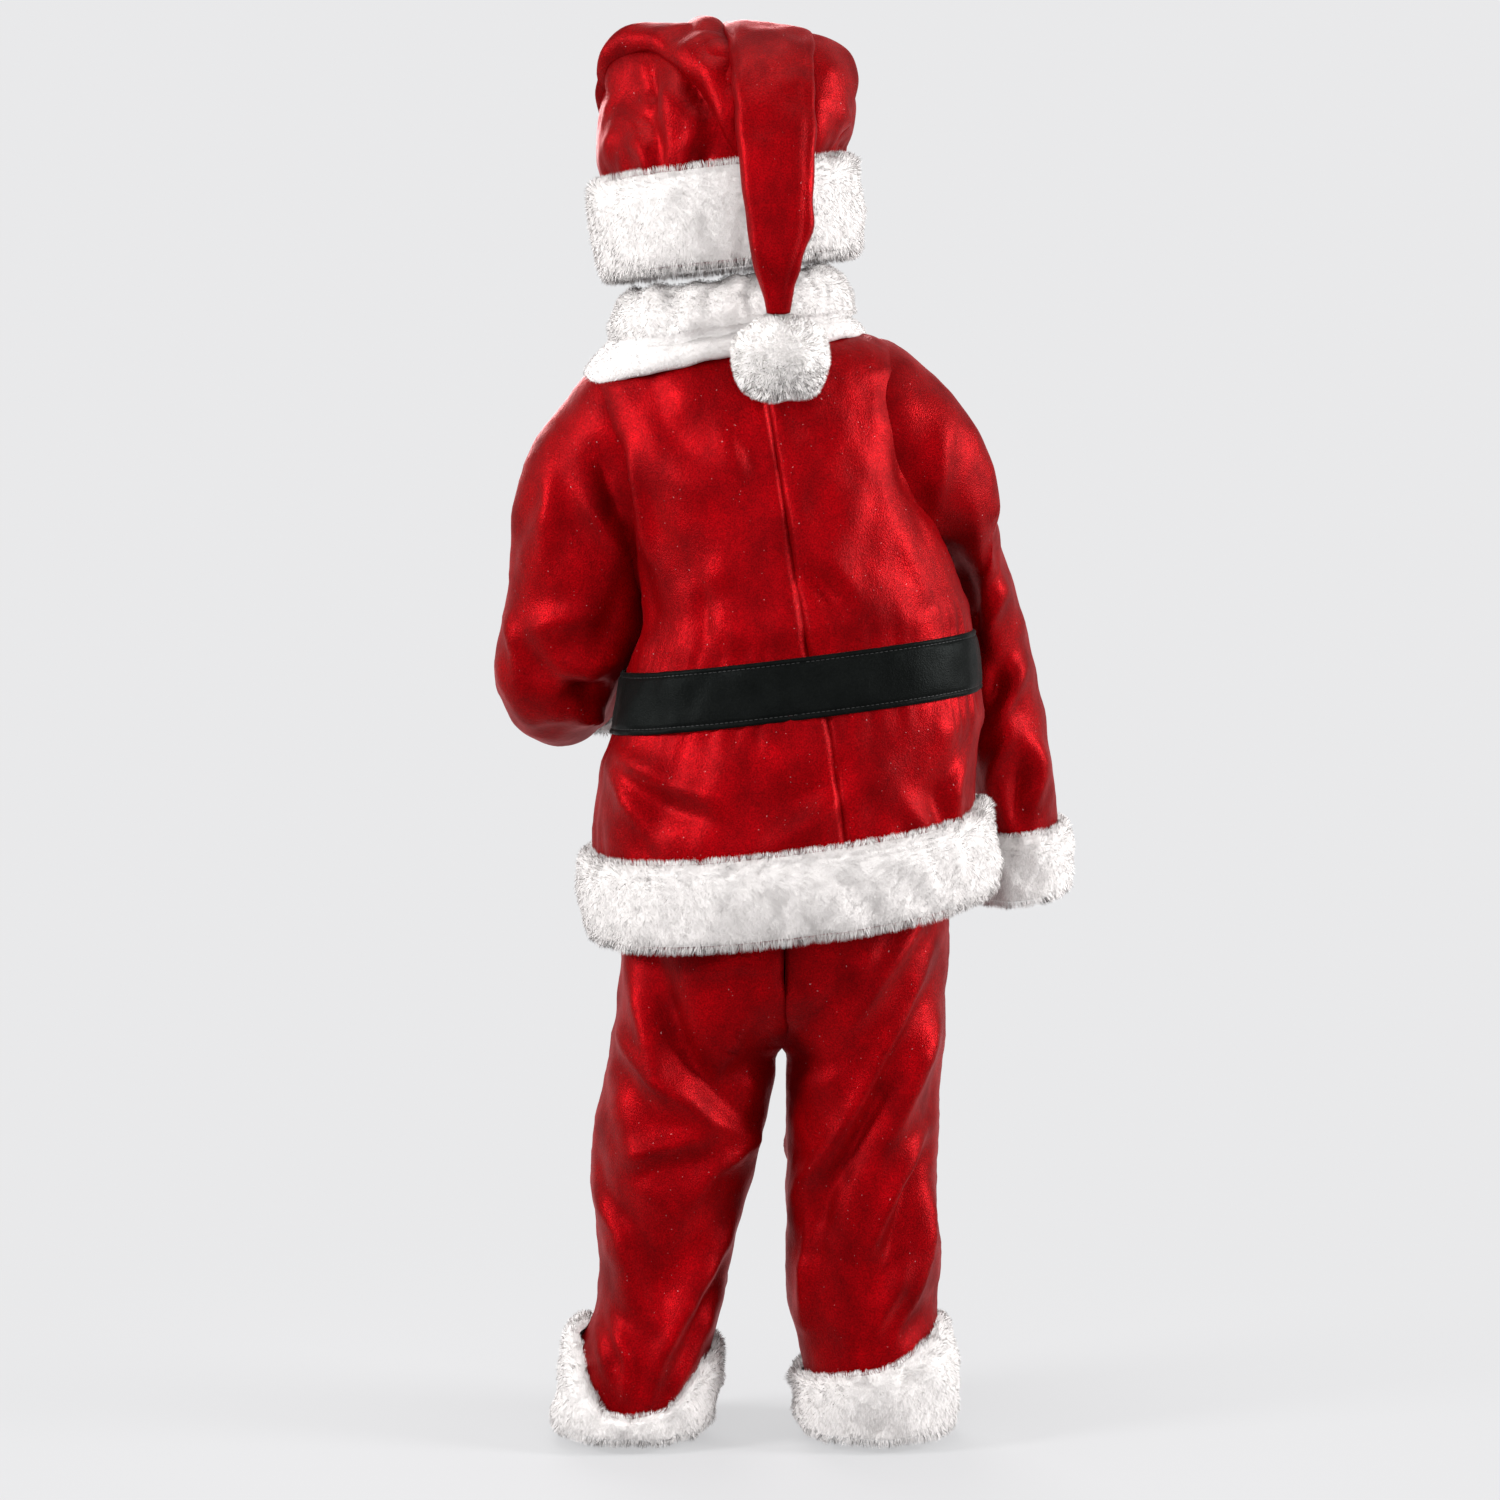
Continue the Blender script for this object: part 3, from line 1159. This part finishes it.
def front_to_front(count):
    """Angles from one front edge all the way round to the other."""
    return np.linspace(180.15, 539.85, count)


def plush_pieces():
    """Hem, cuffs, collar and hat band."""
    hem = plush_cloth(torso, 0.0012, 41, 3)
    trimmed("jacket_hem", strip_places(hem, HEM_HEIGHTS, front_to_front(HEM_COLUMNS),
                                       plush_profile(JACKET_PLUSH)), closed=False)
    for side, tube in sleeves.items():
        cuff = plush_cloth(tube, 0.0010, 42, 43, waves=0.0010)
        rows = [cuff.at(0.885 + share * 0.115, circle(CUFF_COLUMNS), out)
                for share, out in plush_profile(CUFF_PLUSH)]
        trimmed("sleeve_cuff_" + side, np.array(rows))
    angles = circle(LEG_CUFF_COLUMNS, 90)
    for side, tube in legs.items():
        # A turn-up on each leg, whose upper edge dips and rises as it is dragged
        cuff = plush_cloth(tube, 0.0012, 46, 47)
        tops = np.interp(angles % 360, *np.transpose(CUFF_TURNS[side]))
        rows = [cuff.at(tube.along(tops + share * (CUFF_BOTTOM - tops)), angles, out)
                for share, out in plush_profile(LEG_PLUSH)]
        trimmed("leg_cuff_" + side, np.array(rows))
    collar()
    band = plush_cloth(hat, 0.0012, 44, 45)
    trimmed("hat_band", strip_places(band, BAND_HEIGHTS, circle(BAND_COLUMNS),
                                     plush_profile(BAND_PLUSH)))


def collar():
    """A roll that stands round the neck, and a smoother fall that lies on the jacket."""
    angles = front_to_front(COLLAR_COLUMNS)
    roll_tube = plush_cloth(collar_roll, 0.0010, 48, 49)
    fall_tube = Cloth(torso, waves=0.0006, seed=50)
    neck = TORSO[0].z
    turn = np.radians(angles)
    front = np.maximum(-np.cos(turn), 0) ** 1.5
    edge = FALL_EDGE - FALL_LEFT * np.maximum(np.sin(turn), -0.2) - FALL_FRONT * front
    roll = [roll_tube.at(along, angles, -0.0015) for along in np.linspace(0, 1, ROLL_ROWS)]
    fall = [fall_tube.at(torso.along(neck + share * (edge - neck)), angles, out)
            for share, out in FALL_FORM]
    base = cloth_object("collar_plush", np.array(roll + fall), white_plush, thickness=0.0)
    piles = [fur("collar_fur", np.array(roll[1:]), closed=False),
             fur("collar_fall_fur", np.array(roll[-1:] + fall[:5]), closed=False)]
    dress(base, "collar")
    for made in piles:
        dress(made, None)


def pompom():
    """A ball of plush on the hat's tip."""
    up = np.linspace(0.03, math.pi - 0.03, POMPOM_ROWS)
    turn = np.linspace(0, 2 * math.pi, POMPOM_COLUMNS + 1)[:-1]
    up, turn = np.meshgrid(up, turn, indexing="ij")
    way = np.stack((np.sin(up) * np.cos(turn), np.sin(up) * np.sin(turn), np.cos(up)), axis=-1)
    radius = POMPOM_RADIUS * (1 + 0.04 * waves(way, 51, 0.9)[..., None])
    places = way * radius * np.array(POMPOM_SQUASH) + np.array(POMPOM_CENTRE)
    base = cloth_object("pompom_plush", places, white_plush, closed=True, thickness=0.0,
                        cap_first=True, cap_last=True)
    pile = fur("pompom_fur", places)
    dress(base, "hat_pompom")
    dress(pile, None)


def belt_piece():
    """A band of black velvet, with a row of stitches near each edge."""
    mirrored = [(1 - share, out) for share, out in BELT_FORM[-2::-1]]
    cloth = Cloth(torso, (), (belt_ripple,), waves=0.0006, seed=61)
    places = strip_places(cloth, BELT_HEIGHTS, circle(BELT_COLUMNS), BELT_FORM + mirrored)
    made = cloth_object("belt_velvet", places, black_velvet, closed=True, thickness=0.0)
    dress(made, "belt")
    stitches = []
    for share in (0.090, 0.910):
        along = belt_top + share * (belt_bottom - belt_top)
        stitches += stitch_run(cloth.at(along, np.linspace(0, 360, STITCH_POINTS), 0.0021))
    thread = joined("belt_stitches", stitches, black_thread)
    dress(thread, None)


def stitch_run(line):
    """The two ends of each short stitch along a line of places."""
    far = distances(line)
    return [[np.array([np.interp(spot, far, line[:, axis]) for axis in range(3)])
             for spot in (start, start + STITCH_LENGTH)]
            for start in np.arange(0, far[-1] - STITCH_PITCH, STITCH_PITCH)]


def joined(name, stitches, finish):
    """One mesh of small threads."""
    verts, faces = [], []
    for first, last in stitches:
        way = (last - first) / np.linalg.norm(last - first)
        out = np.cross(way, (0.0, 0.0, 1.0))
        out /= np.linalg.norm(out)
        up = np.cross(out, way)
        start = len(verts)
        for share, size in THREAD_FORM:
            for k in range(THREAD_SIDES):
                turn = 2 * math.pi * k / THREAD_SIDES
                spot = first + (last - first) * share
                verts.append(spot + THREAD * size * (math.cos(turn) * out + math.sin(turn) * up))
        for row in range(2):
            for k in range(THREAD_SIDES):
                a = start + row * THREAD_SIDES + k
                b = start + row * THREAD_SIDES + (k + 1) % THREAD_SIDES
                faces.append((a, b, b + THREAD_SIDES, a + THREAD_SIDES))
    mesh = bpy.data.meshes.new(name)
    mesh.from_pydata([tuple(v) for v in verts], [], faces)
    mesh.shade_smooth()
    return in_collection(name, mesh, finish)


def ramp(tree, source, stops):
    """A colour ramp on a value: pairs of place and colour."""
    node = tree.nodes.new("ShaderNodeValToRGB")
    tree.links.new(source, node.inputs["Fac"])
    while len(node.color_ramp.elements) < len(stops):
        node.color_ramp.elements.new(0.5)
    for element, (place, colour) in zip(node.color_ramp.elements, stops):
        element.position = place
        element.color = (*colour, 1.0)
    return node.outputs["Color"]


def noise(tree, scale, detail=2.0, roughness=0.5, stretch=None):
    where = tree.nodes.new("ShaderNodeTexCoord").outputs["Object"]
    if stretch:
        mapping = tree.nodes.new("ShaderNodeMapping")
        mapping.inputs["Scale"].default_value = stretch
        tree.links.new(where, mapping.inputs["Vector"])
        where = mapping.outputs["Vector"]
    node = tree.nodes.new("ShaderNodeTexNoise")
    node.inputs["Scale"].default_value = scale
    node.inputs["Detail"].default_value = detail
    node.inputs["Roughness"].default_value = roughness
    tree.links.new(where, node.inputs["Vector"])
    return node.outputs["Fac"]


def math_node(tree, operation, first, second):
    node = tree.nodes.new("ShaderNodeMath")
    node.operation = operation
    for socket, value in zip(node.inputs, (first, second)):
        if isinstance(value, (int, float)):
            socket.default_value = value
        else:
            tree.links.new(value, socket)
    return node.outputs["Value"]


def mixed(tree, share, first, second):
    node = tree.nodes.new("ShaderNodeMix")
    node.data_type = "RGBA"
    tree.links.new(share, node.inputs["Factor"])
    for socket, value in ((node.inputs["A"], first), (node.inputs["B"], second)):
        if isinstance(value, tuple):
            socket.default_value = (*value, 1.0)
        else:
            tree.links.new(value, socket)
    return node.outputs["Result"]


def bumped(tree, height, strength, distance):
    """A height that shows as relief on the material."""
    bump = tree.nodes.new("ShaderNodeBump")
    bump.inputs["Strength"].default_value = strength
    bump.inputs["Distance"].default_value = distance
    tree.links.new(height, bump.inputs["Height"])
    tree.links.new(bump.outputs["Normal"], tree.nodes["Principled BSDF"].inputs["Normal"])


def new_material(name, settings):
    """A Principled material: itself, its tree and its shader's inputs, some of them set."""
    made = bpy.data.materials.new(name)
    made.use_nodes = True
    inputs = made.node_tree.nodes["Principled BSDF"].inputs
    for setting, value in settings.items():
        inputs[setting].default_value = value
    return made, made.node_tree, inputs


def velvet(name, deep, bright, tint, sheen, lint, gloss, satin):
    """Short pile cloth: deep colour, brushed paler patches, a bright edge and lint."""
    made, tree, inputs = new_material(name, {
        "Specular IOR Level": gloss, "Specular Tint": (*tint, 1.0), "Metallic": satin,
        "Sheen Weight": sheen, "Sheen Roughness": 0.25, "Sheen Tint": (*tint, 1.0)})
    brushed = noise(tree, 34.0, 5.0, 0.65, (1.0, 1.0, 0.7))
    nap = noise(tree, 900.0, 2.0, 0.6)
    patches = ramp(tree, brushed, ((0.30, deep), (0.72, bright)))
    grain = ramp(tree, nap, ((0.36, (0.0, 0.0, 0.0)), (0.64, (0.62, 0.62, 0.62))))
    colour = mixed(tree, grain, patches, tuple(0.40 * part for part in deep))
    fibres = math_node(tree, "GREATER_THAN", noise(tree, 620.0, 0.0), lint)
    share = math_node(tree, "MULTIPLY", fibres, 0.22)
    colour = mixed(tree, share, colour, (0.75, 0.45, 0.45))
    tree.links.new(colour, inputs["Base Color"])
    rough = math_node(tree, "ADD", math_node(tree, "MULTIPLY", brushed, -0.34), 0.605)
    tree.links.new(rough, inputs["Roughness"])
    height = math_node(tree, "ADD", math_node(tree, "MULTIPLY", brushed, 0.30),
                       math_node(tree, "MULTIPLY", nap, 0.17))
    bumped(tree, height, 0.55, 0.0040)
    return made


def plush(name, colour, shade):
    """Packed white pile under the fur's tips."""
    made, tree, inputs = new_material(name, {
        "Roughness": 0.95, "Specular IOR Level": 0.1, "Sheen Weight": 0.25,
        "Sheen Roughness": 0.6})
    tufts = noise(tree, 260.0, 4.0, 0.7)
    tree.links.new(ramp(tree, tufts, ((0.30, shade), (0.62, colour))), inputs["Base Color"])
    bumped(tree, tufts, 0.7, 0.002)
    return made


def strands(name, colour, shade):
    """The fur's own finish, plain enough for many thin strands."""
    made, tree, inputs = new_material(name, {"Roughness": 0.85, "Specular IOR Level": 0.15})
    tint = noise(tree, 90.0, 2.0)
    tree.links.new(ramp(tree, tint, ((0.35, shade), (0.65, colour))), inputs["Base Color"])
    return made


def thread_finish(name, colour):
    """A twisted thread."""
    made, tree, inputs = new_material(name, {"Roughness": 0.55})
    paler = tuple(2.2 * part for part in colour)
    twist = ramp(tree, noise(tree, 2500.0, 1.0), ((0.4, colour), (0.6, paler)))
    tree.links.new(twist, inputs["Base Color"])
    return made


def blended(tree, share, first, second, output):
    """Two shaders mixed by a share, as what the output shows."""
    blend = tree.nodes.new("ShaderNodeMixShader")
    for source, socket in zip((share, first, second), blend.inputs):
        tree.links.new(source, socket)
    tree.links.new(blend.outputs["Shader"], tree.nodes[output].inputs["Surface"])


def surround():
    """Pale as the camera sees it, and dimmer as a light."""
    world = bpy.data.worlds.new("surround")
    bpy.context.scene.world = world
    world.use_nodes = True
    tree = world.node_tree
    back = tree.nodes["Background"]
    back.inputs["Color"].default_value = (*WORLD, 1.0)
    back.inputs["Strength"].default_value = 1.0
    dim = tree.nodes.new("ShaderNodeBackground")
    dim.inputs["Color"].default_value = (1.0, 1.0, 1.0, 1.0)
    dim.inputs["Strength"].default_value = FILL
    path = tree.nodes.new("ShaderNodeLightPath")
    blended(tree, path.outputs["Is Camera Ray"], dim.outputs["Background"],
            back.outputs["Background"], "World Output")


def floor():
    """A pale floor that fades into the surround."""
    turns = [2 * math.pi * k / FLOOR_SIDES for k in range(FLOOR_SIDES)]
    verts = [(FLOOR_RADIUS * math.cos(turn), FLOOR_RADIUS * math.sin(turn), FLOOR)
             for turn in turns]
    mesh = bpy.data.meshes.new("floor")
    mesh.from_pydata(verts, [], [tuple(range(FLOOR_SIDES))])
    made = bpy.data.objects.new("floor", mesh)
    bpy.context.scene.collection.objects.link(made)
    paint, tree, inputs = new_material("floor_paint", {
        "Base Color": FLOOR_COLOUR, "Roughness": 0.9, "Specular IOR Level": 0.1})
    glow = tree.nodes.new("ShaderNodeEmission")
    glow.inputs["Color"].default_value = (*WORLD, 1.0)
    reach = tree.nodes.new("ShaderNodeVectorMath")
    reach.operation = "LENGTH"
    tree.links.new(tree.nodes.new("ShaderNodeTexCoord").outputs["Object"], reach.inputs[0])
    fade = tree.nodes.new("ShaderNodeMapRange")
    fade.interpolation_type = "SMOOTHSTEP"
    fade.inputs["From Min"].default_value = FADE_START
    fade.inputs["From Max"].default_value = FADE_END
    tree.links.new(reach.outputs["Value"], fade.inputs["Value"])
    blended(tree, fade.outputs["Result"], tree.nodes["Principled BSDF"].outputs["BSDF"],
            glow.outputs["Emission"], "Material Output")
    mesh.materials.append(paint)


def placed(name, data, place, aim):
    """A lamp or camera at a place, turned to what it looks at."""
    made = bpy.data.objects.new(name, data)
    made.location = place
    made.rotation_euler = (Vector(aim) - Vector(place)).to_track_quat("-Z", "Y").to_euler()
    bpy.context.scene.collection.objects.link(made)
    return made


def lamps():
    """Soft round lamps about the suit."""
    for name, (place, size, power) in LAMPS.items():
        light = bpy.data.lights.new(name, "AREA")
        light.shape = "DISK"
        light.size = size
        light.energy = power
        placed(name, light, place, LAMP_AIM)


def camera():
    """The photograph's own view."""
    bpy.context.scene.view_settings.view_transform = "Standard"
    made = bpy.data.cameras.new("camera")
    made.lens = CAMERA_LENS
    made.sensor_width = 36.0
    made.sensor_fit = "HORIZONTAL"
    bpy.context.scene.camera = placed("camera", made, CAMERA_PLACE, CAMERA_AIM)


pieces = bpy.data.collections.new("suit_looks")
bpy.context.scene.collection.children.link(pieces)

red_velvet = velvet("velvet_red", (0.116, 0.0001, 0.0007), (0.310, 0.0003, 0.0020),
                    (1.0, 0.050, 0.075), 0.10, 0.86, 0.34, 0.42)
black_velvet = velvet("velvet_black", (0.0014, 0.0017, 0.0016), (0.0050, 0.0056, 0.0053),
                      (0.55, 0.62, 0.60), 0.05, 0.98, 0.05, 0.0)
white_plush = plush("plush_white", (0.63, 0.602, 0.592), (0.57, 0.545, 0.535))
white_fur = strands("fur_white", (0.63, 0.602, 0.592), (0.60, 0.573, 0.563))
pale_fur = strands("fur_pale", (0.77, 0.74, 0.73), (0.74, 0.71, 0.70))
bright_fur = strands("fur_bright", (0.87, 0.84, 0.825), (0.84, 0.81, 0.795))
FUR_FINISHES = {"pompom_fur": bright_fur, "leg_cuff_left_fur": pale_fur,
                "leg_cuff_right_fur": pale_fur, "sleeve_cuff_left_fur": pale_fur,
                "sleeve_cuff_right_fur": pale_fur}
black_thread = thread_finish("thread_black", (0.008, 0.008, 0.008))

jacket()
sleeve_pieces()
trousers()
hat_pieces()
belt_piece()
plush_pieces()
pompom()
surround()
floor()
lamps()
camera()
